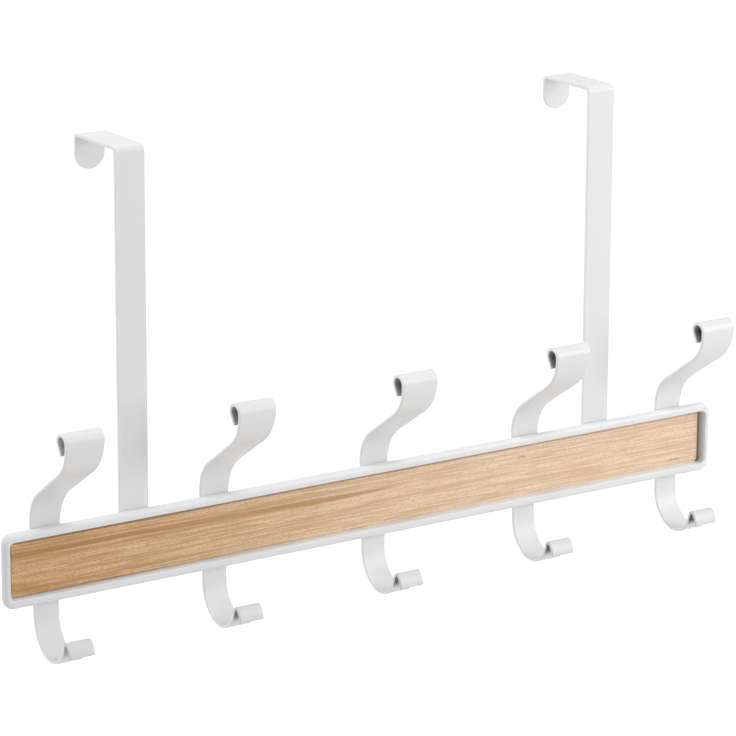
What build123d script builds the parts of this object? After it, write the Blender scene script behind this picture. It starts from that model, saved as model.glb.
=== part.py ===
from build123d import *
import math
import os

# Over door hook rack: a framed wood rail, five double strip hooks and two over door brackets.
# Millimetres. x runs along the rail and is 0 at its middle. y = 0 is the face of the door that
# the strips lie against, with the room at -y and the door at +y. z = 0 is the rail's lower edge.
# Every angle of a bend is in degrees, and every bend radius is that of the strip's middle.

# Rail frame, a shallow tray with a rim all round
rail_length = 473.5
rail_height = 41.8
rail_depth = 6
rail_corner_radius = 6
rail_front_radius = 2.4
rail_back_radius = 2.5
rim_width = 4.7
rim_end_width = 3.4
rim_edge_radius = 0.6
recess_corner_radius = 3
tray_floor = 0.6

# Wood panel, laid in the tray
panel_thickness = 1
panel_gap = 0.8
panel_end_gap = 3

# Flat steel strip, common to the hooks and the brackets
strip_thickness = 2

# Double hooks
hook_count = 5
hook_pitch = 104.5
hook_waist_width = 15.2
hook_crown_width = 23.8
taper_start = 8.6
taper_blend_radius = 300

# Upper arm of a hook: out, up and over into a roll that turns back to the door
arm_rise = 0.6
arm_lower_bend = 25
arm_angle = 56
arm_slope_length = 29.7
arm_upper_bend = 23
roll_radius = 4.4
roll_angle = 205
roll_tail = 6

# Lower hook: a J whose tip is folded over to the front
hook_drop = 8.1
heel_bend = 21
heel_angle = 59
cradle_bend = 15
cradle_angle = 101
cradle_rise = 3.6
fold_radius = 1.9
fold_angle = 117
tip_bend = 9.6
tip_angle = 43

# Over door brackets
bracket_offset = 155
bracket_width = 18
bracket_rise = 199.6
bracket_foot = 4.4
door_gap = 41
tab_drop = 20.5
bracket_bend = 2.5

# Sizes that follow
strip_middle = -strip_thickness / 2
rail_back = -strip_thickness
rail_middle = rail_height / 2
floor_front = rail_back - tray_floor
UP = 90
DOWN = -90


def strip_side(start, heading, runs):
    """Side view of a bent strip as a closed face, with y to the right and z up. Each run is a
    straight length with no turn, or a bend radius with its turn, positive to the left. Both
    edges follow the middle line, half a thickness away."""
    half = strip_thickness / 2
    middle = Vector(*start)
    left, right = [], []
    for size, turn in runs:
        along = Vector(1, 0).rotate(Axis.Z, heading)
        out = Vector(0, 1).rotate(Axis.Z, heading) * half
        if turn:
            towards = math.copysign(half, turn)
            left.append(JernArc(middle + out, along, size - towards, turn))
            right.append(JernArc(middle - out, along, size + towards, turn))
        else:
            left.append(Line(middle + out, middle + out + along * size))
            right.append(Line(middle - out, middle - out + along * size))
        middle = (left[-1] @ 1 + right[-1] @ 1) / 2
        heading += turn
    ends = [Line(left[0] @ 0, right[0] @ 0), Line(left[-1] @ 1, right[-1] @ 1)]
    return make_face([*left, *right, *ends])


def hook_solid():
    """One double hook at x = 0: the bent side view, cut to the strip's tapered front view."""
    upper = [
        (rail_middle + arm_rise, 0),
        (arm_lower_bend, arm_angle),
        (arm_slope_length, 0),
        (arm_upper_bend, -arm_angle),
        (roll_radius, -roll_angle),
        (roll_tail, 0),
    ]
    lower = [
        (rail_middle + hook_drop, 0),
        (heel_bend, -heel_angle),
        (cradle_bend, -cradle_angle),
        (cradle_rise, 0),
        (fold_radius, fold_angle),
        (tip_bend, tip_angle),
    ]
    waist = (strip_middle, rail_middle)
    side = strip_side(waist, UP, upper) + strip_side(waist, DOWN, lower)
    extent = side.bounding_box()
    corners = [
        (hook_waist_width / 2, extent.min.Y),
        (hook_waist_width / 2, taper_start),
        (hook_crown_width / 2, extent.max.Y),
    ]
    mirrored = [(-x, z) for x, z in reversed(corners)]
    front = make_face(Polyline(*corners, *mirrored, close=True))
    front = fillet(front.vertices().group_by(Axis.Y)[1], taper_blend_radius)
    blank = extrude(Plane.YZ * side, amount=hook_crown_width, both=True)
    return blank & extrude(Plane.XZ * front, amount=extent.size.X * 2, both=True)


def bracket_solid():
    """One over door bracket at x = 0: a straight strip, bent over the door to a round tab."""
    outer = bracket_bend + strip_thickness / 2
    top = rail_height + bracket_rise
    tab_centre = top - tab_drop + bracket_width / 2
    runs = [
        (top - outer - bracket_foot, 0),
        (bracket_bend, -90),
        (door_gap + 2 * strip_thickness - 2 * outer, 0),
        (bracket_bend, -90),
        (top - outer - tab_centre, 0),
    ]
    side = strip_side((strip_middle, bracket_foot), UP, runs)
    strip = extrude(Plane.YZ * side, amount=bracket_width / 2, both=True)
    tab_plane = Plane((0, door_gap, tab_centre), x_dir=(1, 0, 0), z_dir=(0, 1, 0))
    strip += tab_plane * extrude(Circle(bracket_width / 2), amount=strip_thickness)
    return strip


def inner_outline(inset, end_inset, corner_radius):
    """Rounded rectangle set in from the rail's outline by one amount all along and one at the ends."""
    width = rail_length - 2 * end_inset
    height = rail_height - 2 * inset
    return RectangleRounded(width, height, corner_radius)


def rail_solid():
    """The rail frame: a tray open to the room, with a floor at the back and a rim rounded on both
    its outer edges."""
    body = extrude(inner_outline(0, 0, rail_corner_radius), amount=rail_depth)
    body = fillet(body.edges().group_by(Axis.Z)[-1], rail_front_radius)
    body = fillet(body.edges().group_by(Axis.Z)[0], rail_back_radius)
    recess = inner_outline(rim_width, rim_end_width, recess_corner_radius)
    tray = body - Pos(0, 0, tray_floor) * extrude(recess, amount=rail_depth)
    mouth = tray.faces().sort_by(Axis.Z)[-1].inner_wires()[0].edges()
    room = Plane((0, rail_back, rail_middle), x_dir=(1, 0, 0), z_dir=(0, -1, 0))
    return room * fillet(mouth, rim_edge_radius)


def panel_solid():
    """The wood panel, laid on the tray floor with a gap along it and a wider one at its ends."""
    outline = inner_outline(
        rim_width + panel_gap, rim_end_width + panel_end_gap, recess_corner_radius - panel_gap
    )
    floor = Plane((0, floor_front, rail_middle), x_dir=(1, 0, 0), z_dir=(0, -1, 0))
    return floor * extrude(outline, amount=panel_thickness)


hook_offsets = [(i - (hook_count - 1) / 2) * hook_pitch for i in range(hook_count)]
hook = hook_solid()
bracket = bracket_solid()

nodes = {f"hook_{i + 1}": Pos(offset, 0, 0) * hook for i, offset in enumerate(hook_offsets)}
nodes["bracket_left"] = Pos(-bracket_offset, 0, 0) * bracket
nodes["bracket_right"] = Pos(bracket_offset, 0, 0) * bracket
nodes["rail_frame"] = rail_solid()
nodes["wood_panel"] = panel_solid()

os.makedirs("parts", exist_ok=True)
for name, shape in nodes.items():
    export_step(shape, f"parts/{name}.step")
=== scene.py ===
import math

import bpy
import numpy as np
from bpy.props import FloatProperty, FloatVectorProperty, IntProperty, PointerProperty
from mathutils import Matrix, Vector


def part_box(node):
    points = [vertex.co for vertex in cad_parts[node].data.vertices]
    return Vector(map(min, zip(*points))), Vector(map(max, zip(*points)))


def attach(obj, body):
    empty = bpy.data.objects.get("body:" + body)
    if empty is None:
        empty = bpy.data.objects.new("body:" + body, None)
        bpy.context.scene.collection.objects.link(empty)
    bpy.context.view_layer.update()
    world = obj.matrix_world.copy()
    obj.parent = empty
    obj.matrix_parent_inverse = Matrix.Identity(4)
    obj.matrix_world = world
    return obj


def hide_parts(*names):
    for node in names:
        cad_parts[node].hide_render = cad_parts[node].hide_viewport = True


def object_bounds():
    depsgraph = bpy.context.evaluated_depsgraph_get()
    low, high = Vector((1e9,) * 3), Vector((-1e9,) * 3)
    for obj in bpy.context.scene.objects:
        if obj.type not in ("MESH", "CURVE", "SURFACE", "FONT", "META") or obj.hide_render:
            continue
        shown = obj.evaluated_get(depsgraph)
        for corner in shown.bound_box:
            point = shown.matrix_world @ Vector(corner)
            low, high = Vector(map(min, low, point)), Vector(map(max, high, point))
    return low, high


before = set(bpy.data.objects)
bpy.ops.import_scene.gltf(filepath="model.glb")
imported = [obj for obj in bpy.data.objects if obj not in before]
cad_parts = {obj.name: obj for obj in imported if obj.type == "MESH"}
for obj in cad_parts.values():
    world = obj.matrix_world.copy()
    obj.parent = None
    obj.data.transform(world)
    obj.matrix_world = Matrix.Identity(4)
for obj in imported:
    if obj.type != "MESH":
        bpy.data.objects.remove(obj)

bl_info = {
    "name": "Over Door Hook Rack",
    "version": (1, 0, 0),
    "blender": (4, 5, 0),
    "location": "View3D > Sidebar > Hook Rack",
    "description": "Dresses the over door hook rack and sets up its studio view",
    "category": "Object",
}

# Metres. x runs along the rail, -y is the room, y = 0 the face of the door, and z = 0 the rail's
# lower edge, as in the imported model. A strip's bends are those of its middle line.
MM = 0.001
CAD_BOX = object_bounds()
HOOK_NODES = [f"hook_{i + 1}" for i in range(5)]
BRACKET_NODES = ["bracket_left", "bracket_right"]
RAIL_LOW, RAIL_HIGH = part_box("rail_frame")
PANEL_LOW, PANEL_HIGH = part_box("wood_panel")
DOOR_FACE = 0.0
RAIL_BACK = RAIL_HIGH[1]
RAIL_MIDDLE = (RAIL_LOW[2] + RAIL_HIGH[2]) / 2
STRIP_THICKNESS = DOOR_FACE - RAIL_BACK

# The tray that holds the wood panel: the rims above and below it are as wide as in the part, and
# so is the gap between the panel and the tray's end walls. The panel lies on the tray's floor.
RIM_WIDTH = 4.7 * MM
PANEL_END_GAP = 3 * MM
TRAY_HALF_HEIGHT = RAIL_HIGH[2] - RAIL_MIDDLE - RIM_WIDTH
TRAY_END = PANEL_HIGH[0] + PANEL_END_GAP
TRAY_FLOOR = PANEL_HIGH[1]

# The studio: each lamp's place, the point it faces and the side of its square in metres, the
# camera's sensor in millimetres, and the floor's finish
LAMPS = {
    "right": ((1.05, -1.1, 0.5), (0.15, 0.0, 0.1), 0.9),
    "top": ((-0.45, 0.15, 1.4), (0.0, 0.0, 0.1), 1.2),
    "left": ((-1.4, 0.15, 0.15), (0.0, 0.0, 0.1), 0.5),
}
SENSOR_WIDTH = 36
FLOOR_SPECK_SCALE = 3.0
FLOOR_GREYS = ((0.70, 0.70, 0.70), (0.72, 0.72, 0.72))
FLOOR_ROUGHNESS = 0.9
WHITE = (1, 1, 1, 1)


def length(name, description, millimetres):
    """A length property, whose default is given in millimetres."""
    return FloatProperty(
        name=name, description=description, default=millimetres * MM, unit="LENGTH", precision=5,
    )


def angle(name, description, degrees):
    """An angle property, whose default is given in degrees."""
    return FloatProperty(
        name=name, description=description, default=math.radians(degrees), subtype="ANGLE",
    )


def share(name, description, value):
    """A property between none and all."""
    return FloatProperty(
        name=name, description=description, default=value, min=0, max=1, subtype="FACTOR",
    )


def tint(name, description, red, green, blue):
    """A colour property, whose default is given as it shows on a screen, from 0 to 255. It is
    kept as light: below a small value a twelfth, else the 2.4th power of the screen's value."""
    light = [
        part / 12.92 if part < 0.04045 else ((part + 0.055) / 1.055) ** 2.4
        for part in (red / 255, green / 255, blue / 255)
    ]
    return FloatVectorProperty(
        name=name, description=description, subtype="COLOR", size=3, min=0, max=1, default=light,
    )


class RackStripSettings(bpy.types.PropertyGroup):
    """Finish of the strips' edges"""

    hook_edge: length("Hook Edge", "Rounding of the hooks' cut edges", 0.75)
    bracket_edge: length("Bracket Edge", "Rounding of the brackets' cut edges", 0.4)
    edge_steps: IntProperty(
        name="Edge Steps", description="Facets across each rounded edge", default=4, min=1,
    )
    bend_step: angle("Bend Step", "Turn between two stations along a bend", 5)


class RackHookSettings(bpy.types.PropertyGroup):
    """Bends and widths of the double hooks"""

    waist_width: length("Waist Width", "Width of the strip behind the rail and below it", 15.2)
    crown_width: length("Crown Width", "Width of the strip at the top of its roll", 23.8)
    taper_start: length("Taper Start", "Height at which the strip starts to widen", 8.6)
    arm_rise: length("Arm Rise", "Straight strip above the rail", 0.6)
    arm_lower_bend: length("Arm Lower Bend", "Radius of the bend out into the room", 25)
    arm_angle: angle("Arm Angle", "Lean of the arm from upright", 56)
    arm_slope_length: length("Arm Slope Length", "Straight leaning part of the arm", 29.7)
    arm_upper_bend: length("Arm Upper Bend", "Radius of the bend back to upright", 23)
    roll_radius: length("Roll Radius", "Radius of the rolled tip", 4.4)
    roll_angle: angle("Roll Angle", "Turn of the rolled tip", 205)
    roll_tail: length("Roll Tail", "Straight end of the rolled tip", 6)
    hook_drop: length("Hook Drop", "Straight strip below the rail", 8.1)
    heel_bend: length("Heel Bend", "Radius of the lower hook's first bend", 21)
    heel_angle: angle("Heel Angle", "Turn of the lower hook's first bend", 59)
    cradle_bend: length("Cradle Bend", "Radius of the lower hook's cradle", 15)
    cradle_angle: angle("Cradle Angle", "Turn of the lower hook's cradle", 101)
    cradle_rise: length("Cradle Rise", "Straight strip up from the cradle", 3.6)
    fold_radius: length("Fold Radius", "Radius of the fold over to the front", 1.9)
    fold_angle: angle("Fold Angle", "Turn of the fold over to the front", 117)
    tip_bend: length("Tip Bend", "Radius of the folded tip", 9.6)
    tip_angle: angle("Tip Angle", "Turn of the folded tip", 43)


class RackBracketSettings(bpy.types.PropertyGroup):
    """Bends of the brackets that hang over the door"""

    bend: length("Bend", "Radius of both bends over the door", 2.5)
    tab_drop: length("Tab Drop", "Height of the tab behind the door", 20.5)
    tab_steps: IntProperty(
        name="Tab Steps", description="Facets round each half of the tab", default=24, min=4,
    )


class RackPaintSettings(bpy.types.PropertyGroup):
    """The white powder coat on all steel parts"""

    colour: tint("Paint Colour", "Colour of the powder coat", 231, 231, 231)
    roughness: share("Paint Roughness", "Roughness of the powder coat", 0.40)
    peel_size: length("Peel Size", "Size of the ripples in the powder coat", 0.9)
    peel_depth: length("Peel Depth", "Depth of the ripples in the powder coat", 0.01)
    # Painted highlight: a lighter colour on the strips' cut edges, standing in for the light they
    # catch
    edge: tint("Edge Colour", "Colour of the powder coat on the strips' cut edges", 250, 250, 250)
    # Painted shade: a greyer colour on the lower hooks' tips
    tip: tint("Tip Colour", "Colour of the powder coat on the lower hooks' tips", 219, 219, 219)
    # Painted light: a lighter, bluish white on the tray's lower wall and on the room side of its
    # right wall
    tray_wall_light: tint(
        "Tray Wall", "Colour of the powder coat on the tray's lower and right walls", 246, 250, 254,
    )
    # Painted shade: a brown colour in the gap round the wood panel
    gap_shade: tint("Glue Line", "Colour in the gap round the wood panel", 150, 124, 110)
    weld_radius: length("Weld Radius", "Radius of the weld marks on the strips' backs", 2.2)
    weld_depth: length("Weld Depth", "Depth of the weld marks on the strips' backs", 0.12)


class RackHollowShadeSettings(bpy.types.PropertyGroup):
    """Painted shade inside the rolls and folds: a dark grey laid on the strips' inner faces"""

    # Painted shade: the dark grey that the inner faces of the rolls and folds take on
    colour: tint("Bare Steel", "Colour of the bare steel", 52, 52, 54)
    # Shares of the painted shade along each bend; an unshaded share is the part of a bend before the
    # shade starts
    arm_unshaded: share("Arm Coated", "Share of the arm's upper bend that keeps its coat", 0.65)
    arm: share("Arm", "Share of bare steel where the arm enters the roll", 0.4)
    roll: share("Roll", "Share of bare steel at the end of the roll's bend", 0.8)
    roll_tail: share("Roll Tail", "Share of bare steel at the roll's tail", 0.6)
    cradle_unshaded: share("Cradle Coated", "Share of the cradle that keeps its coat", 0.85)
    cradle: share("Cradle", "Share of bare steel where the cradle ends", 0.9)
    fold: share("Fold", "Share of bare steel from the cradle's end to the fold's", 1.0)
    tip: share("Tip", "Share of bare steel at the end of the folded tip", 0.4)


class RackWoodSettings(bpy.types.PropertyGroup):
    """Colours of the wood panel, at its left end unless said otherwise"""

    ground: tint("Ground", "Colour between the grain lines", 224, 181, 131)
    grain: tint("Grain", "Colour of the grain lines", 178, 131, 75)
    flush: tint("Flush", "Colour of the pale rosy patches", 232, 190, 154)
    streak: tint("Streak", "Colour of the dark streak", 176, 128, 72)
    # Painted shade along the panel's top and bottom edges; the two short marks in the grain share
    # this colour
    seam: tint("Seam", "Colour of the panel's dark edge", 122, 96, 66)
    # Painted sheen: the paler colours that the panel takes on towards its right end
    sheen_ground: tint("Far Ground", "Colour that the panel pales to at its right end", 243, 216, 190)
    sheen_grain: tint("Far Grain", "Colour of the grain lines at the right end", 214, 181, 142)


class RackStageSettings(bpy.types.PropertyGroup):
    """Camera, floor and lamps"""

    azimuth: angle("Azimuth", "Bearing of the camera round the rack", -33.40)
    elevation: angle("Elevation", "Height of the camera above the horizon", 13.74)
    roll: angle("Roll", "Turn of the camera about its own axis", 0.24)
    distance: length("Distance", "Distance from the camera to the point it looks at", 1938.8)
    target: FloatVectorProperty(
        name="Target", description="Point that the camera looks at",
        subtype="TRANSLATION", unit="LENGTH", size=3, default=(-0.00485, -0.002, 0.16086),
    )
    focal_length: FloatProperty(
        name="Focal Length", description="Focal length on a sensor 36 mm wide, in millimetres",
        default=171.35,
    )
    shift: FloatProperty(
        name="Shift", description="Vertical lens shift as a share of the picture's width",
        default=-0.1495,
    )
    floor_drop: length("Floor Drop", "Distance from the rack's lowest point to the floor", 350)
    floor_reach: length("Floor Reach", "Distance from the rack to the floor's edges", 12000)
    floor_glow: FloatProperty(
        name="Floor Glow", description="Light on the floor that only the camera and reflections see",
        default=0.64,
    )
    surround: FloatProperty(
        name="Surround", description="Strength of the even light from all round", default=0.53,
    )
    right_power: FloatProperty(
        name="Right Lamp", description="Power of the lamp at the right front",
        default=12.0, unit="POWER",
    )
    top_power: FloatProperty(
        name="Top Lamp", description="Power of the lamp overhead", default=9.0, unit="POWER",
    )
    left_power: FloatProperty(
        name="Left Lamp", description="Power of the lamp at the left, level with the door's face",
        default=1.5, unit="POWER",
    )


class RackSettings(bpy.types.PropertyGroup):
    """All settings of the rack, by part"""

    strip: PointerProperty(type=RackStripSettings)
    hook: PointerProperty(type=RackHookSettings)
    bracket: PointerProperty(type=RackBracketSettings)
    paint: PointerProperty(type=RackPaintSettings)
    bare: PointerProperty(type=RackHollowShadeSettings)
    wood: PointerProperty(type=RackWoodSettings)
    stage: PointerProperty(type=RackStageSettings)


# Shapes

class Stations:
    """Sections of a strip in order along its middle line, as arrays of one value each: the
    place (y, z) and heading of the middle line, half the strip's width, the turn of a rounded
    end, the turn round a tab, and the share of painted shade on the inner face."""

    fields = ("y", "z", "heading", "half", "end", "round", "bare")

    def __init__(self, **arrays):
        for field in self.fields:
            setattr(self, field, np.broadcast_to(arrays.get(field, 0.0), arrays["y"].shape))

    def joined(self, *others):
        """These stations and others after them."""
        parts = (self, *others)
        return Stations(**{
            field: np.concatenate([getattr(part, field) for part in parts]) for field in self.fields
        })

    def picked(self, which):
        """Some of the stations, by a slice."""
        return Stations(**{field: getattr(self, field)[which] for field in self.fields})

    def reversed(self):
        """The same stations walked the other way, so that each heading is half a turn round."""
        back = self.picked(slice(None, None, -1))
        back.heading = back.heading + math.pi
        return back


# Least steps along a bend, and steps along a straight run
BEND_STEPS_LEAST = 2
STRAIGHT_STEPS = 4


def walk(start, heading, runs, bend_step):
    """Middle line of a bent strip in the plane of y and z. A run is (length, 0, shade) or
    (radius, turn, shade), with shade the share of painted shade on the inner face. A straight run
    adds its length along the heading in equal steps. A bend goes about a centre that lies one
    radius to the side it turns to, at equal turns: the place is the centre plus the radius times
    the sine and minus the cosine of the heading. The share of painted shade goes in a straight
    line from the last run's value to this run's."""
    y, z = start
    parts = [Stations(y=np.array([y]), z=np.array([z]), heading=heading)]
    last = 0.0
    for size, turn, bare in runs:
        if turn:
            steps = max(BEND_STEPS_LEAST, math.ceil(abs(turn) / bend_step))
            turns = np.linspace(0, turn, steps + 1)[1:]
            side = math.copysign(size, turn)
            along = heading + turns
            ys = y - side * math.sin(heading) + side * np.sin(along)
            zs = z + side * math.cos(heading) - side * np.cos(along)
            heading += turn
        else:
            ahead = np.linspace(0, size, STRAIGHT_STEPS + 1)[1:]
            along = np.full(len(ahead), heading)
            ys = y + ahead * math.cos(heading)
            zs = z + ahead * math.sin(heading)
        shares = np.linspace(last, bare, len(ys) + 1)[1:]
        parts.append(Stations(y=ys, z=zs, heading=along, bare=shares))
        y, z, last = float(ys[-1]), float(zs[-1]), bare
    return parts[0].joined(*parts[1:])


def rounded_end(line, radius, steps):
    """The line with its last station drawn out into a rounded end: the end turns through a
    quarter, while its stations step ahead by the sine of that turn less one, times the radius."""
    turn = np.linspace(0, math.pi / 2, steps + 1)
    last = line.picked(slice(-1, None))
    ahead = radius * (np.sin(turn) - 1)
    end = Stations(
        y=last.y + ahead * np.cos(last.heading), z=last.z + ahead * np.sin(last.heading),
        heading=last.heading, half=last.half, bare=last.bare, end=turn,
    )
    return line.picked(slice(None, -1)).joined(end)


# Least rounding that is left at the tip of a rounded end, as a share of the full rounding
LEAST_RADIUS = 0.05


def strip_skin(name, x, line, edge, steps):
    """Skin of a bent strip. Round each station goes a rounded rectangle, as a turn t from 0 on
    a flat face to a quarter on an edge: it stands off the middle line by half the thickness less
    r (1 - cos t), and reaches the half width less r (1 - sin t). At a rounded end the section
    draws in by r (1 - cos e), with e the end's turn, and its rounding shrinks by as much. Round a
    tab, reach times the sine of the tab's turn goes ahead and reach times its cosine goes
    across, so each ring point follows its own half circle. Normals come from the same turns. The
    mesh carries the share of painted shade on the inner face, each point's way aside from the
    middle, and the square of its normal's part along x, which is 1 on a cut edge."""
    quarter = np.linspace(0, math.pi / 2, steps + 1)
    turn = np.concatenate([quarter, quarter[::-1], quarter, quarter[::-1]])
    across = np.repeat([1.0, 1.0, -1.0, -1.0], steps + 1)
    out = np.repeat([1.0, -1.0, -1.0, 1.0], steps + 1)
    column = {field: getattr(line, field)[:, None] for field in Stations.fields}
    inset = edge * (1 - np.cos(column["end"]))
    radius = np.maximum(edge - inset, edge * LEAST_RADIUS)
    reach = column["half"] - inset - radius * (1 - np.sin(turn))
    aside = across * reach * np.cos(column["round"])
    ahead = reach * np.sin(column["round"])
    off = out * (STRIP_THICKNESS / 2 - inset - radius * (1 - np.cos(turn)))
    sine, cosine = np.sin(column["heading"]), np.cos(column["heading"])
    points = np.stack([
        x + aside,
        column["y"] + ahead * cosine - off * sine,
        column["z"] + ahead * sine + off * cosine,
    ], axis=2)

    flank = np.sin(turn) * np.cos(column["end"])
    side_normal = across * flank * np.cos(column["round"])
    ahead_normal = flank * np.sin(column["round"]) + np.sin(column["end"])
    off_normal = out * np.cos(turn) * np.cos(column["end"])
    normals = np.stack([
        side_normal,
        ahead_normal * cosine - off_normal * sine,
        ahead_normal * sine + off_normal * cosine,
    ], axis=2)

    stations, ring = aside.shape
    grid = np.arange(stations * ring).reshape(stations, ring)
    here, there = grid[:-1], grid[1:]
    skin = np.stack([here, np.roll(here, -1, 1), np.roll(there, -1, 1), there], axis=2)
    near, far = grid[:, :ring // 2], grid[:, ring // 2:][:, ::-1]
    first = np.stack([far[0, :-1], far[0, 1:], near[0, 1:], near[0, :-1]], axis=1)
    last = np.stack([near[-1, :-1], near[-1, 1:], far[-1, 1:], far[-1, :-1]], axis=1)
    faces = np.concatenate([skin.reshape(-1, 4), first, last])
    mesh = bpy.data.meshes.new(name)
    mesh.from_pydata(points.reshape(-1, 3), [], faces)
    mesh.update()
    mesh.shade_smooth()
    mesh.normals_split_custom_set_from_vertices(normals.reshape(-1, 3))
    inner = (out < 0) * np.cos(turn) ** 2
    carried = {"bare": column["bare"] * inner, "aside": aside, "edge": side_normal ** 2}
    for title, values in carried.items():
        layer = mesh.attributes.new(title, "FLOAT", "POINT")
        layer.data.foreach_set("value", values.astype(np.float32).ravel())
    return mesh


def hook_stations(hook, bare, strip):
    """Stations of one hook from its folded lower tip, up behind the rail, to its rolled end. It
    is walked both ways from behind the rail, and the lower half is turned round. Half the width
    grows in a straight line with height from the taper's start to the crown."""
    # The third value of each run is the share of painted shade on the strip's inner face
    upper = [
        (RAIL_MIDDLE + hook.arm_rise, 0, 0),
        (hook.arm_lower_bend, hook.arm_angle, 0),
        (hook.arm_slope_length, 0, 0),
        (hook.arm_upper_bend, -hook.arm_angle * bare.arm_unshaded, 0),
        (hook.arm_upper_bend, -hook.arm_angle * (1 - bare.arm_unshaded), bare.arm),
        (hook.roll_radius, -hook.roll_angle, bare.roll),
        (hook.roll_tail, 0, bare.roll_tail),
    ]
    lower = [
        (RAIL_MIDDLE + hook.hook_drop, 0, 0),
        (hook.heel_bend, -hook.heel_angle, 0),
        (hook.cradle_bend, -hook.cradle_angle * bare.cradle_unshaded, 0),
        (hook.cradle_bend, -hook.cradle_angle * (1 - bare.cradle_unshaded), bare.cradle),
        (hook.cradle_rise, 0, bare.fold),
        (hook.fold_radius, hook.fold_angle, bare.fold),
        (hook.tip_bend, hook.tip_angle, bare.tip),
    ]
    waist = (DOOR_FACE - STRIP_THICKNESS / 2, RAIL_MIDDLE)
    ends = [
        rounded_end(walk(waist, heading, runs, strip.bend_step), strip.hook_edge, strip.edge_steps)
        for heading, runs in ((-math.pi / 2, lower), (math.pi / 2, upper))
    ]
    ends[0].end = -ends[0].end
    line = ends[0].reversed().joined(ends[1].picked(slice(1, None)))
    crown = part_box(HOOK_NODES[0])[1][2]
    rise = np.clip((line.z - hook.taper_start) / (crown - hook.taper_start), 0, 1)
    line.half = (hook.waist_width + (hook.crown_width - hook.waist_width) * rise) / 2
    return line


def bracket_stations(node, bracket, strip):
    """Stations of one bracket from its foot, up and over the door, and round its tab. The tab's
    stations all lie at its centre, while their turn grows in equal steps to nearly a quarter."""
    low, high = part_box(node)
    half = (high[0] - low[0]) / 2
    outer = bracket.bend + STRIP_THICKNESS / 2
    runs = [
        (high[2] - outer - low[2], 0, 0),
        (bracket.bend, -math.pi / 2, 0),
        (high[1] - low[1] - 2 * outer, 0, 0),
        (bracket.bend, -math.pi / 2, 0),
        (bracket.tab_drop - outer - half, 0, 0),
    ]
    start = (low[1] + STRIP_THICKNESS / 2, low[2])
    line = walk(start, math.pi / 2, runs, strip.bend_step)
    line.half = np.full(len(line.y), half)
    foot = line.picked(slice(0, 2)).reversed()
    foot_end = rounded_end(foot, strip.bracket_edge, strip.edge_steps)
    foot_end.end = -foot_end.end
    count = bracket.tab_steps
    tab = Stations(
        y=np.full(count, line.y[-1]), z=line.z[-1], heading=line.heading[-1], half=half,
        round=np.arange(1, count + 1) * (math.pi / 2 / (count + 0.5)),
    )
    return foot_end.reversed().joined(line.picked(slice(2, None)), tab)


def dress(node, line, edge, rack):
    """A strip along a line that stands for a node at the node's middle. It rides with the rack
    and takes the white paint's slot."""
    low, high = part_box(node)
    mesh = strip_skin(f"{node}_strip", (low[0] + high[0]) / 2, line, edge, rack.strip.edge_steps)
    mesh.materials.append(strip_paint(rack.paint, rack.bare))
    piece = bpy.data.objects.new(mesh.name, mesh)
    bpy.context.collection.objects.link(piece)
    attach(piece, "root")
    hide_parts(node)


# Materials

class Tree:
    """Short ways to add nodes to one shader tree. A value may be a socket, a number or a colour."""

    def __init__(self, tree):
        self.tree = tree

    def node(self, kind, **settings):
        """A node with its settings."""
        node = self.tree.nodes.new(f"ShaderNode{kind}")
        for name, value in settings.items():
            setattr(node, name, value)
        return node

    def feed(self, socket, value):
        """A link or a constant on a socket."""
        if isinstance(value, bpy.types.NodeSocket):
            self.tree.links.new(value, socket)
        elif hasattr(value, "__len__") and socket.type == "RGBA":
            socket.default_value = (*value, 1.0)[:4]
        else:
            socket.default_value = value

    def result(self, kind, values, output=0, **settings):
        """One output of a new node, whose inputs are fed by their names or numbers."""
        node = self.node(kind, **settings)
        for key, value in values.items():
            self.feed(node.inputs[key], value)
        return node.outputs[output]

    def math(self, operation, first, *others):
        """Arithmetic on one value, or on several in turn."""
        if not others:
            return self.result("Math", {0: first}, operation=operation)
        for other in others:
            first = self.result("Math", {0: first, 1: other}, operation=operation)
        return first

    def ramp(self, value, low, high, start=0.0, end=1.0, smooth=True):
        """A value carried from one range to another and held at its ends."""
        return self.result(
            "MapRange", dict(enumerate((value, low, high, start, end))),
            interpolation_type="SMOOTHSTEP" if smooth else "LINEAR",
        )

    def rising(self, value, place, width, end=1.0):
        """A rise from 0 that starts at a place and takes a width."""
        return self.ramp(value, place, place + width, 0.0, end)

    def falling(self, value, place, width, end=0.0):
        """A fall from 1 that starts at a place and takes a width."""
        return self.ramp(value, place, place + width, 1.0, end)

    def blend(self, factor, first, second):
        """A colour between two."""
        return self.result("Mix", {0: factor, 6: first, 7: second}, output=2, data_type="RGBA")

    def vector(self, x, y, z):
        """A vector from its parts."""
        return self.result("CombineXYZ", {0: x, 1: y, 2: z})

    def parts(self, vector):
        """The three parts of a vector."""
        node = self.node("SeparateXYZ")
        self.feed(node.inputs[0], vector)
        return node.outputs

    def noise(self, vector, scale, detail=2.0, rough=0.5):
        """A cloud of values round a half."""
        return self.result(
            "TexNoise", {"Vector": vector, "Scale": scale, "Detail": detail, "Roughness": rough},
        )

    def place(self):
        """Position on the rack."""
        return self.node("TexCoord").outputs["Object"]

    def attribute(self, name):
        """A value that the mesh carries at its points."""
        return self.node("Attribute", attribute_name=name).outputs["Fac"]

    def bump(self, height, distance):
        """A normal that follows a height."""
        return self.result("Bump", {"Strength": 1.0, "Distance": distance, "Height": height})


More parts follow.
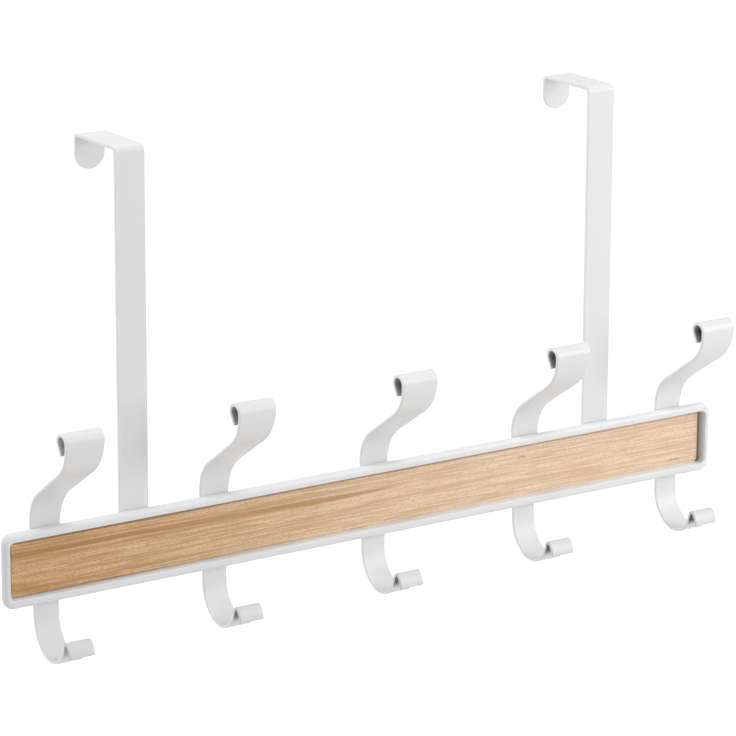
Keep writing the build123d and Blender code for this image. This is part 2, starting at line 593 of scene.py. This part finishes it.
def group(name, inputs, outputs):
    """An empty shader group with named sockets: its data, tree helper, inputs and output node."""
    data = bpy.data.node_groups.new(name, "ShaderNodeTree")
    for direction, sockets in (("INPUT", inputs), ("OUTPUT", outputs)):
        for title, kind in sockets:
            data.interface.new_socket(title, in_out=direction, socket_type=f"NodeSocket{kind}")
    given, made = data.nodes.new("NodeGroupInput"), data.nodes.new("NodeGroupOutput")
    return data, Tree(data), given.outputs, made


# The coat: how fine its cloud is, how much grey the cloud's values add, the grey, and how the
# ripples' values change the roughness
CLOUD_SCALE = 22.0
CLOUD_RANGE = (0.35, 0.65, 0.045, 0.0)
CLOUD_GREY = (0.55, 0.55, 0.56)
PEEL_ROUGHNESS = (0.3, 0.7, -0.05, 0.05)


def powder_coat():
    """Group of the coat that all painted parts share: a faint cloud in its tone, and an orange
    peel ripple that shows in its roughness and height."""
    if "powder_coat" in bpy.data.node_groups:
        return bpy.data.node_groups["powder_coat"]
    data, tree, given, made = group(
        "powder_coat",
        [("Position", "Vector"), ("Colour", "Color"), ("Ripples", "Float"), ("Roughness", "Float")],
        [("Colour", "Color"), ("Roughness", "Float"), ("Height", "Float")],
    )
    cloud = tree.noise(given["Position"], CLOUD_SCALE)
    shade = tree.blend(tree.ramp(cloud, *CLOUD_RANGE), given["Colour"], CLOUD_GREY)
    ripple = tree.noise(given["Position"], given["Ripples"])
    rough = tree.math("ADD", given["Roughness"], tree.ramp(ripple, *PEEL_ROUGHNESS))
    for title, value in (("Colour", shade), ("Roughness", rough), ("Height", ripple)):
        tree.feed(made.inputs[title], value)
    return data


def new_material(name):
    """An empty material: its data, tree helper and shader."""
    material = bpy.data.materials.new(name)
    material.use_nodes = True
    return material, Tree(material.node_tree), material.node_tree.nodes["Principled BSDF"]


def coated(tree, shader, paint, layers):
    """The powder coat on a shader, under layers of a mask and a colour each. Gives the height of
    its ripples."""
    coat = tree.node("Group", node_tree=powder_coat())
    tree.feed(coat.inputs["Position"], tree.place())
    tree.feed(coat.inputs["Colour"], tuple(paint.colour))
    tree.feed(coat.inputs["Ripples"], 1 / paint.peel_size)
    tree.feed(coat.inputs["Roughness"], paint.roughness)
    colour = coat.outputs["Colour"]
    for mask, tone in layers:
        colour = tree.blend(mask, colour, tuple(tone))
    tree.feed(shader.inputs["Base Color"], colour)
    tree.feed(shader.inputs["Roughness"], coat.outputs["Roughness"])
    return coat.outputs["Height"]


# Where the strips' paint changes. Each range goes from one place to another, with the shares at
# both where they aren't 0 and 1. Inside the folds the painted shade grows along the rack towards
# its right end and away from a strip's cut edges. The painted shade at the lower hooks' tips lies
# beyond a place towards the room and below a height. A strip's back lies against the door's face.
HOLLOW_SHADE_AT_LEFT = (-250 * MM, -60 * MM, 0.35, 0.88)
HOLLOW_SHADE_AT_RIGHT = (60 * MM, 160 * MM, 0.0, 0.12)
HOLLOW_SHADE_FROM_EDGE = (11.5 * MM, 7.5 * MM, 0.6, 1.0)
TIP_SHADE_OUTWARD = (-33 * MM, -35.5 * MM)
TIP_SHADE_DOWNWARD = (-8 * MM, -11 * MM)
BACK_FROM = (DOOR_FACE - 0.3 * MM, DOOR_FACE - 0.1 * MM)
BACK_TO = (DOOR_FACE + 0.5 * MM, DOOR_FACE + 1 * MM, 1.0, 0.0)


def weld_marks(tree, paint, aside, y, z):
    """Depth of the two shallow weld marks on the back of each strip, a quarter of the rail's height
    above and below its middle. It is -1 within half of the mark's radius and 0 outside it."""
    quarter = (RAIL_HIGH[2] - RAIL_LOW[2]) / 4
    level = tree.math("ABSOLUTE", tree.math("SUBTRACT", z, RAIL_MIDDLE))
    off = tree.math("SUBTRACT", level, quarter)
    squares = (tree.math("MULTIPLY", off, off), tree.math("MULTIPLY", aside, aside))
    away = tree.math("SQRT", tree.math("ADD", *squares))
    dent = tree.ramp(away, paint.weld_radius / 2, paint.weld_radius, -1.0, 0.0)
    return tree.math("MULTIPLY", dent, tree.ramp(y, *BACK_FROM), tree.ramp(y, *BACK_TO))


def strip_paint(paint, bare):
    """Paint of the hooks and brackets. The cut edges get a painted highlight and the lower hooks'
    tips get a painted shade. A dark painted shade lies on the inner face of the tight rolls and
    folds. Weld marks show on the strips' backs."""
    if "white_strip_paint" in bpy.data.materials:
        return bpy.data.materials["white_strip_paint"]
    material, tree, shader = new_material("white_strip_paint")
    x, y, z = tree.parts(tree.place())
    aside = tree.attribute("aside")
    along = tree.math("ADD", tree.ramp(x, *HOLLOW_SHADE_AT_LEFT), tree.ramp(x, *HOLLOW_SHADE_AT_RIGHT))
    depth = tree.ramp(tree.math("ABSOLUTE", aside), *HOLLOW_SHADE_FROM_EDGE)
    # Painted shade inside the rolls and folds, stronger towards the rack's right end and away from
    # the cut edges
    hollow_shade_share = tree.math("MULTIPLY", tree.ramp(tree.attribute("bare"), 0.0, 1.0), along, depth)
    # Painted shade on the lower hooks' tips, beyond a place towards the room and below a height
    tip = tree.math("MULTIPLY", tree.ramp(y, *TIP_SHADE_OUTWARD), tree.ramp(z, *TIP_SHADE_DOWNWARD))
    # The cut edges get a painted highlight, the lower hooks' tips a painted shade, and the rolls and
    # folds their painted shade
    layers = ((tree.attribute("edge"), paint.edge), (tip, paint.tip), (hollow_shade_share, bare.colour))
    peel = tree.math("MULTIPLY", coated(tree, shader, paint, layers), paint.peel_depth / MM)
    mark = tree.math("MULTIPLY", weld_marks(tree, paint, aside, y, z), paint.weld_depth / MM)
    tree.feed(shader.inputs["Normal"], tree.bump(tree.math("ADD", peel, mark), MM))
    return material


# Masks on the rail frame. Each has the place where it starts to rise or fall and the width that it
# takes: beside the rims, before the frame's back, on the tray's floor, at both ends of the panel
# and at the tray's right end. The mouth reaches from the tray's rounded edge down to its floor.
BESIDE_RIMS = (TRAY_HALF_HEIGHT, 0.3 * MM)
BEFORE_BACK = (RAIL_BACK - 0.4 * MM, 0.2 * MM)
ON_FLOOR = (TRAY_FLOOR - 0.2 * MM, 0.15 * MM)
FROM_PANEL_START = (PANEL_LOW[0], 1 * MM)
PAST_PANEL = (PANEL_HIGH[0] - 1 * MM, 1 * MM)
UP_TO_WALL = (TRAY_END, 0.6 * MM)
MOUTH = (RAIL_LOW[1] + 1 * MM, TRAY_FLOOR)

# The painted shade in the gap along the panel goes from one place to another, with its shares there.
# In the right gap it thins out before the wall to a last share, and a faint painted shade rises from
# the foot of the wall.
GAP_SHADE_ALONG = (PANEL_LOW[0], 0.0, 0.6, 0.0)
GAP_SHADE_THINS = (TRAY_END - 1.2 * MM, 1 * MM, 0.3)
GAP_SHADE_ON_WALL = 0.1


def frame_paint(paint):
    """Paint of the rail frame, with a brown painted shade on the tray's floor in the gap round the
    wood panel. It fills the gap at the right end, thins out before the wall there and rises faintly
    up the wall, fading towards the room. It is missing at the left end, and fades along the narrow
    gaps towards the right. A painted light makes the coat lighter on the tray's lower wall and,
    towards the room, on its right wall."""
    material, tree, shader = new_material("white_frame_paint")
    x, y, z = tree.parts(tree.place())
    level = tree.math("ABSOLUTE", tree.math("SUBTRACT", z, RAIL_MIDDLE))
    tray = tree.math("MULTIPLY", tree.falling(level, *BESIDE_RIMS), tree.falling(y, *BEFORE_BACK))
    floor = tree.rising(y, *ON_FLOOR)
    from_start = tree.rising(x, *FROM_PANEL_START)
    past_panel = tree.rising(x, *PAST_PANEL)
    up_to_wall = tree.falling(x, *UP_TO_WALL)

    # Painted shade in the gap: on the floor at the right end, faintly up the wall there, and along
    # the panel from its left end
    on_floor = tree.math("MULTIPLY", floor, tree.falling(x, *GAP_SHADE_THINS))
    wall_shade = tree.ramp(y, *MOUTH, 0.0, GAP_SHADE_ON_WALL, smooth=False)
    on_wall = tree.math("MULTIPLY", wall_shade, up_to_wall)
    end = tree.math("MULTIPLY", past_panel, tree.math("MAXIMUM", on_floor, on_wall))
    along = tree.math("MULTIPLY", tree.ramp(x, *GAP_SHADE_ALONG), from_start, floor)
    gap_shade = tree.math("MULTIPLY", tree.math("MAXIMUM", along, end), tray)

    # Painted light on the tray's lower wall and on its right wall, fading from the room towards the
    # floor
    lower_half = tree.ramp(z, RAIL_MIDDLE, (RAIL_MIDDLE + RAIL_LOW[2]) / 2)
    up_to_panel_end = tree.math("SUBTRACT", 1.0, past_panel)
    lower_wall = tree.math("MULTIPLY", lower_half, from_start, up_to_panel_end)
    to_room = tree.ramp(y, *MOUTH, 1.0, 0.0, smooth=False)
    right_wall = tree.math("MULTIPLY", past_panel, up_to_wall, to_room)
    lit = tree.math("MULTIPLY", tray, tree.math("MAXIMUM", lower_wall, right_wall))

    peel = coated(tree, shader, paint, ((lit, paint.tray_wall_light), (gap_shade, paint.gap_shade)))
    tree.feed(shader.inputs["Normal"], tree.bump(peel, paint.peel_depth))
    return material


# Noise in the wood: how often it repeats along the panel and up it, its seed, detail and roughness
WAVE = (4.0, 1.5, 0.0)
BANDS = (2.5, 6.0, 1.7)
LINES = (6.0, 22.0, 4.3, 2.0, 0.6)
FINE_LINES = (14.0, 46.0, 8.9, 2.0, 0.6)
PATCHES = (22.0, 12.0, 6.1, 3.0, 0.6)
PORES = (260.0, 60.0, 2.2)
WAVE_SWAY = 0.04

# Where the wood's colours change. Each range goes from one value to another, with the shares at
# both where they aren't 0 and 1. A value is noise, or a place from 0 to 1 along the panel or up it.
# The painted sheen's range along the panel
SHEEN_ALONG = (-0.05, 0.75)
ROSY_NOISE = (0.5, 0.68)
ROSY_ALONG = (0.0, 1.0, 0.7, 0.45)
BAND_NOISE = (0.42, 0.66, 0.0, 0.25)
LINE_NOISE = (0.50, 0.62, 0.0, 0.7)
FINE_NOISE = (0.50, 0.60, 0.0, 0.8)
PORE_NOISE = (0.50, 0.66, 0.0, 0.75)
# Painted shade along the panel's top edge and its foot: its height on the panel, its strength along
# it, and the noise that breaks up the foot's line
TOP_SHADE_UP = (0.93, 0.965)
TOP_SHADE_ALONG = (0.0, 1.0, 0.8, 0.45)
FOOT_SHADE_UP = (0.0, 0.025, 1.0, 0.0)
FOOT_SHADE_ALONG = (0.0, 0.75, 0.85, 0.0)
FOOT_SHADE_NOISE_SCALE = 160.0
FOOT_SHADE_NOISE = (0.4, 0.6, 0.6, 1.0)

# The dark streaks: along the panel from one place to another they go from one height to another,
# with half their height, the stretch where they taper away, and their strength at first and later
STREAKS = (
    {"path": (0.1, 0.5, 0.736, 0.662), "half": 0.05, "taper": (0.44, 0.585), "strength": (0.9, 0.7)},
    {"path": (0.1, 0.36, 0.834, 0.765), "half": 0.024, "taper": (0.3, 0.5), "strength": (0.6, 0.4)},
)
STREAK_SWAY = 0.05
STREAK_GONE = -0.02
STREAK_WEAKENS = (0.1, 0.3)
STREAK_SOFTNESS = (-0.012, 0.02)

# The two short marks: where they start and end along the panel, their height, their bow and half
# their thickness. Their strength falls from their middle to their ends.
MARKS = (
    {"first": 0.712, "last": 0.727, "height": 0.77, "bow": -0.05, "half": 0.03},
    {"first": 0.95, "last": 0.976, "height": 0.12, "bow": 0.0, "half": 0.025},
)
MARK_STRENGTH = 0.4
MARK_ENDS_FROM = 0.2
MARK_CORE = 0.4

# The wood's roughness by the grain lines' values, the fine lines' depth as a share of the pores',
# and the depth of the grain
WOOD_ROUGHNESS = (0.3, 0.7, 0.5, 0.62)
FINE_LINE_DEPTH = 0.6
GRAIN_DEPTH = 0.05 * MM


def wood_streak(tree, along, level, lines, path, half, taper, strength):
    """Share of a long dark streak about a height that changes along the panel and sways with the
    grain lines. It tapers away along a later stretch, and weakens as it goes."""
    sway = tree.math("MULTIPLY", tree.math("SUBTRACT", lines, 0.5), STREAK_SWAY)
    middle = tree.math("SUBTRACT", tree.ramp(along, *path), sway)
    off = tree.math("ABSOLUTE", tree.math("SUBTRACT", level, middle))
    reach = tree.ramp(along, *taper, half, STREAK_GONE)
    within = tree.ramp(tree.math("SUBTRACT", reach, off), *STREAK_SOFTNESS)
    return tree.math("MULTIPLY", tree.ramp(along, *STREAK_WEAKENS, *strength), within)


def wood_mark(tree, along, level, first, last, height, bow, half):
    """Share of a short fine line along the panel. It is bowed by the square of the distance from
    its middle, and fades out at both ends."""
    span = last - first
    off = tree.math("SUBTRACT", along, (first + last) / 2)
    curve = tree.math("MULTIPLY", tree.math("MULTIPLY", off, off), 4 * bow / span ** 2)
    apart = tree.math("ABSOLUTE", tree.math("SUBTRACT", level, height, curve))
    ends = tree.ramp(
        tree.math("ABSOLUTE", off), span * MARK_ENDS_FROM, span / 2, MARK_STRENGTH, 0.0,
    )
    return tree.math("MULTIPLY", ends, tree.ramp(apart, half * MARK_CORE, half, 1.0, 0.0))


def panel_wood(wood):
    """Light wood whose grain runs along the rail. The grain's level is the height on the panel,
    swayed by a slow wave. Layers of noise drawn out along the rail make broad bands, grain lines,
    rosy patches and pores. A dark streak keeps to the upper third and tapers to a point near the
    middle, with a thinner one above it. All colours pale from the left end to the right as a
    painted sheen, and a painted shade darkens the top and bottom edges."""
    material, tree, shader = new_material("light_wood_grain")
    place = tree.place()
    x, _, z = tree.parts(place)
    along = tree.ramp(x, PANEL_LOW[0], PANEL_HIGH[0], smooth=False)
    level = tree.ramp(z, PANEL_LOW[2], PANEL_HIGH[2], smooth=False)

    def drawn(height, repeats_along, repeats_up, seed, detail=2.0, rough=0.5):
        """Noise drawn out along the grain."""
        across = tree.math("MULTIPLY", along, repeats_along)
        up = tree.math("MULTIPLY", height, repeats_up)
        return tree.noise(tree.vector(across, seed, up), 1.0, detail, rough)

    wave = tree.math("SUBTRACT", drawn(level, *WAVE), 0.5)
    swayed = tree.math("ADD", level, tree.math("MULTIPLY", wave, WAVE_SWAY))
    bands, lines, fine, patches, pores = (
        drawn(swayed, *layer) for layer in (BANDS, LINES, FINE_LINES, PATCHES, PORES)
    )

    # A painted sheen: all colours pale towards the panel's right end
    pale = tree.ramp(along, *SHEEN_ALONG)
    ground = tree.blend(pale, tuple(wood.ground), tuple(wood.sheen_ground))
    grain = tree.blend(pale, tuple(wood.grain), tuple(wood.sheen_grain))
    rosy = tree.math("MULTIPLY", tree.ramp(patches, *ROSY_NOISE), tree.ramp(along, *ROSY_ALONG))
    colour = tree.blend(rosy, ground, tuple(wood.flush))
    for noise, change in (
        (bands, BAND_NOISE), (lines, LINE_NOISE), (fine, FINE_NOISE), (pores, PORE_NOISE),
    ):
        colour = tree.blend(tree.ramp(noise, *change), colour, grain)

    streaks = [wood_streak(tree, along, level, lines, **streak) for streak in STREAKS]
    colour = tree.blend(tree.math("MAXIMUM", *streaks), colour, tuple(wood.streak))

    marks = [wood_mark(tree, along, level, **mark) for mark in MARKS]
    # Painted shade under the top rim and along the foot, weaker towards the right; the marks take the
    # same dark brown
    top = tree.math("MULTIPLY", tree.ramp(level, *TOP_SHADE_UP), tree.ramp(along, *TOP_SHADE_ALONG))
    foot_shade_breakup = tree.ramp(tree.noise(place, FOOT_SHADE_NOISE_SCALE), *FOOT_SHADE_NOISE)
    foot = tree.math(
        "MULTIPLY", tree.ramp(level, *FOOT_SHADE_UP), tree.ramp(along, *FOOT_SHADE_ALONG), foot_shade_breakup,
    )
    colour = tree.blend(tree.math("MAXIMUM", top, foot, *marks), colour, tuple(wood.seam))
    tree.feed(shader.inputs["Base Color"], colour)
    tree.feed(shader.inputs["Roughness"], tree.ramp(lines, *WOOD_ROUGHNESS))
    grooves = tree.math("ADD", tree.math("MULTIPLY", fine, FINE_LINE_DEPTH), pores)
    height = tree.math("SUBTRACT", 1.0, grooves)
    tree.feed(shader.inputs["Normal"], tree.bump(height, GRAIN_DEPTH))
    return material


class RACK_OT_hooks(bpy.types.Operator):
    """Build the five double hooks as bent strips with softened edges"""

    bl_idname = "rack.hooks"
    bl_label = "Build Hooks"

    def execute(self, context):
        rack = context.scene.rack
        line = hook_stations(rack.hook, rack.bare, rack.strip)
        for node in HOOK_NODES:
            dress(node, line, rack.strip.hook_edge, rack)
        return {"FINISHED"}


class RACK_OT_brackets(bpy.types.Operator):
    """Build the two brackets as bent strips with softened edges and a round tab"""

    bl_idname = "rack.brackets"
    bl_label = "Build Brackets"

    def execute(self, context):
        rack = context.scene.rack
        for node in BRACKET_NODES:
            line = bracket_stations(node, rack.bracket, rack.strip)
            dress(node, line, rack.strip.bracket_edge, rack)
        return {"FINISHED"}


class RACK_OT_rail(bpy.types.Operator):
    """Paint the rail frame"""

    bl_idname = "rack.rail"
    bl_label = "Paint Rail"

    def execute(self, context):
        paint = frame_paint(context.scene.rack.paint)
        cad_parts["rail_frame"].material_slots[0].material = paint
        return {"FINISHED"}


class RACK_OT_panel(bpy.types.Operator):
    """Give the wood panel its grain"""

    bl_idname = "rack.panel"
    bl_label = "Grain Panel"

    def execute(self, context):
        wood = panel_wood(context.scene.rack.wood)
        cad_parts["wood_panel"].material_slots[0].material = wood
        return {"FINISHED"}


def add_camera(stage):
    """The camera on its bearing and height about its target, turned by its roll."""
    bearing, height, roll = stage.azimuth, stage.elevation, stage.roll
    back = Vector((
        math.sin(bearing) * math.cos(height), -math.cos(bearing) * math.cos(height), math.sin(height),
    ))
    level = Vector((math.cos(bearing), math.sin(bearing), 0))
    upright = back.cross(level)
    right = level * math.cos(roll) + upright * math.sin(roll)
    up = upright * math.cos(roll) - level * math.sin(roll)
    data = bpy.data.cameras.new("camera")
    data.lens, data.sensor_width, data.shift_y = stage.focal_length, SENSOR_WIDTH, stage.shift
    camera = bpy.data.objects.new("camera", data)
    turned = Matrix((right, up, back)).transposed().to_4x4()
    camera.matrix_world = Matrix.Translation(Vector(stage.target) + back * stage.distance) @ turned
    bpy.context.collection.objects.link(camera)
    bpy.context.scene.camera = camera


def add_lamp(name, place, target, size, power):
    """A soft square lamp at a place, facing a target."""
    data = bpy.data.lights.new(name, "AREA")
    data.size, data.energy = size, power
    lamp = bpy.data.objects.new(name, data)
    lamp.location = place
    lamp.rotation_euler = (Vector(target) - Vector(place)).to_track_quat("-Z", "Y").to_euler()
    bpy.context.collection.objects.link(lamp)


def seen_or_mirrored(tree):
    """1 for what the camera sees directly or in a reflection, else 0."""
    path = tree.node("LightPath")
    return tree.math("MAXIMUM", path.outputs["Is Camera Ray"], path.outputs["Is Glossy Ray"])


def add_floor(stage):
    """A wide pale floor below the rack, which the camera and reflections see nearly white."""
    reach, z = stage.floor_reach, CAD_BOX[0][2] - stage.floor_drop
    corners = [(-reach, -reach, z), (reach, -reach, z), (reach, reach, z), (-reach, reach, z)]
    mesh = bpy.data.meshes.new("floor")
    mesh.from_pydata(corners, [], [(0, 1, 2, 3)])
    floor = bpy.data.objects.new("floor", mesh)
    bpy.context.collection.objects.link(floor)
    material, tree, shader = new_material("floor_white")
    speck = tree.noise(tree.place(), FLOOR_SPECK_SCALE)
    tree.feed(shader.inputs["Base Color"], tree.blend(speck, *FLOOR_GREYS))
    glow = tree.math("MULTIPLY", seen_or_mirrored(tree), stage.floor_glow)
    shader.inputs["Roughness"].default_value = FLOOR_ROUGHNESS
    shader.inputs["Emission Color"].default_value = WHITE
    tree.feed(shader.inputs["Emission Strength"], glow)
    mesh.materials.append(material)


def add_surround(stage):
    """An even surround: white to the camera and in reflections, softer as a light."""
    world = bpy.data.worlds.new("surround")
    world.use_nodes = True
    tree = Tree(world.node_tree)
    background = world.node_tree.nodes["Background"]
    background.inputs["Color"].default_value = WHITE
    strength = tree.ramp(seen_or_mirrored(tree), 0.0, 1.0, stage.surround, 1.0, smooth=False)
    tree.feed(background.inputs["Strength"], strength)
    bpy.context.scene.world = world


class RACK_OT_stage(bpy.types.Operator):
    """Set up the camera, the floor and the soft studio light"""

    bl_idname = "rack.stage"
    bl_label = "Set Stage"

    def execute(self, context):
        stage = context.scene.rack.stage
        context.scene.view_settings.view_transform = "Standard"
        add_camera(stage)
        add_floor(stage)
        add_surround(stage)
        for side, (place, target, size) in LAMPS.items():
            add_lamp(f"lamp_{side}", place, target, size, getattr(stage, f"{side}_power"))
        return {"FINISHED"}


class RACK_PT_panel(bpy.types.Panel):
    """Buttons and values of the rack in the sidebar"""

    bl_label = "Hook Rack"
    bl_idname = "RACK_PT_panel"
    bl_space_type = "VIEW_3D"
    bl_region_type = "UI"
    bl_category = "Hook Rack"

    def draw(self, context):
        for operator in OPERATORS:
            self.layout.operator(operator.bl_idname)
        rack = context.scene.rack
        for title in RackSettings.__annotations__:
            part = getattr(rack, title)
            box = self.layout.box()
            for name in part.__annotations__:
                box.prop(part, name)


SETTINGS = (
    RackStripSettings, RackHookSettings, RackBracketSettings, RackPaintSettings,
    RackHollowShadeSettings, RackWoodSettings, RackStageSettings, RackSettings,
)
OPERATORS = (RACK_OT_stage, RACK_OT_rail, RACK_OT_panel, RACK_OT_hooks, RACK_OT_brackets)


def register():
    for cls in (*SETTINGS, *OPERATORS, RACK_PT_panel):
        bpy.utils.register_class(cls)
    bpy.types.Scene.rack = PointerProperty(type=RackSettings)


def unregister():
    del bpy.types.Scene.rack
    for cls in reversed((*SETTINGS, *OPERATORS, RACK_PT_panel)):
        bpy.utils.unregister_class(cls)


def main():
    register()
    bpy.ops.rack.stage()
    bpy.ops.rack.rail()
    bpy.ops.rack.panel()
    bpy.ops.rack.hooks()
    bpy.ops.rack.brackets()


if __name__ == "__main__":
    main()
